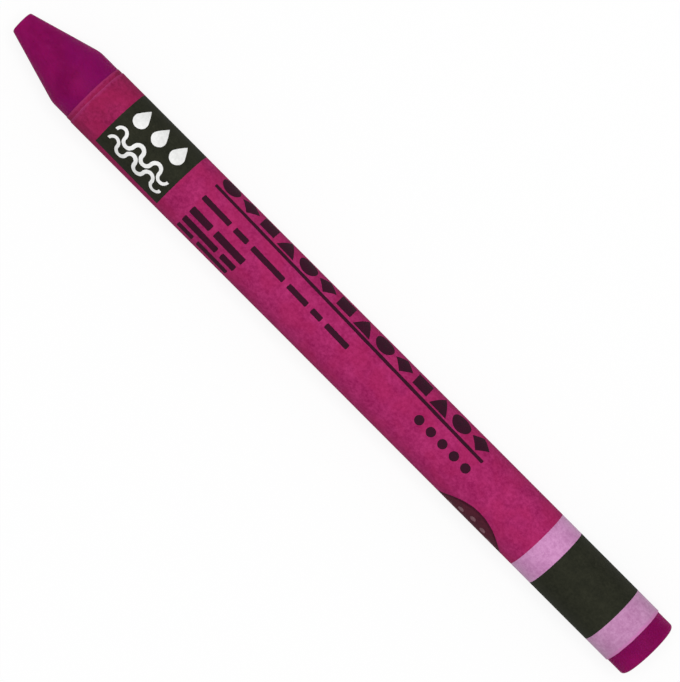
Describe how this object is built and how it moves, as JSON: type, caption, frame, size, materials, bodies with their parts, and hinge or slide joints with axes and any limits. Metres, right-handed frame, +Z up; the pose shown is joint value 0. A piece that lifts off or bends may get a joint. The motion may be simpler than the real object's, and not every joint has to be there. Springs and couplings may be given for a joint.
{
  "type": "water-soluble wax crayon",
  "caption": "Round wax crayon with a blunt cone and a flat butt, in a rolled paper label with printed rings, a dark panel and plain marks; the label slides back along the stick.",
  "frame": {"origin": "middle of the crayon's length and width, on the surface that it lies on", "axes": "+X along the crayon, from its point to its butt; +Z up, through the side that the picture shows"},
  "size_m": [0.102, 0.0082, 0.0083],
  "materials": {
    "wax": "satin",
    "label_paper": "matte",
    "paste": "matte",
    "ground_ink": "matte",
    "pale_ink": "matte",
    "dark_ink": "matte",
    "row_ink": "matte",
    "bare_white": "matte"
  },
  "bodies": {
    "stick": {"wax_stick": "wax"},
    "label": {"label_inner_turn": "ground_ink", "label_paste": "paste", "label_outer_turn": "label_paper", "ground_print": "ground_ink", "front_pale_band": "pale_ink", "dark_band": "dark_ink", "rear_pale_band": "pale_ink", "dark_panel": "dark_ink", "panel_mark": "bare_white", "title_shapes": "row_ink", "title_rule": "row_ink", "text_dashes": "row_ink", "colour_bars": "row_ink", "number_dots": "row_ink", "roundel_disc": "dark_ink", "roundel_dots": "pale_ink"}
  },
  "joints": [
    {"name": "label_slide", "type": "slide", "parent": "stick", "child": "label", "axis": [1, 0, 0], "range_m": [0, 0.055]}
  ]
}
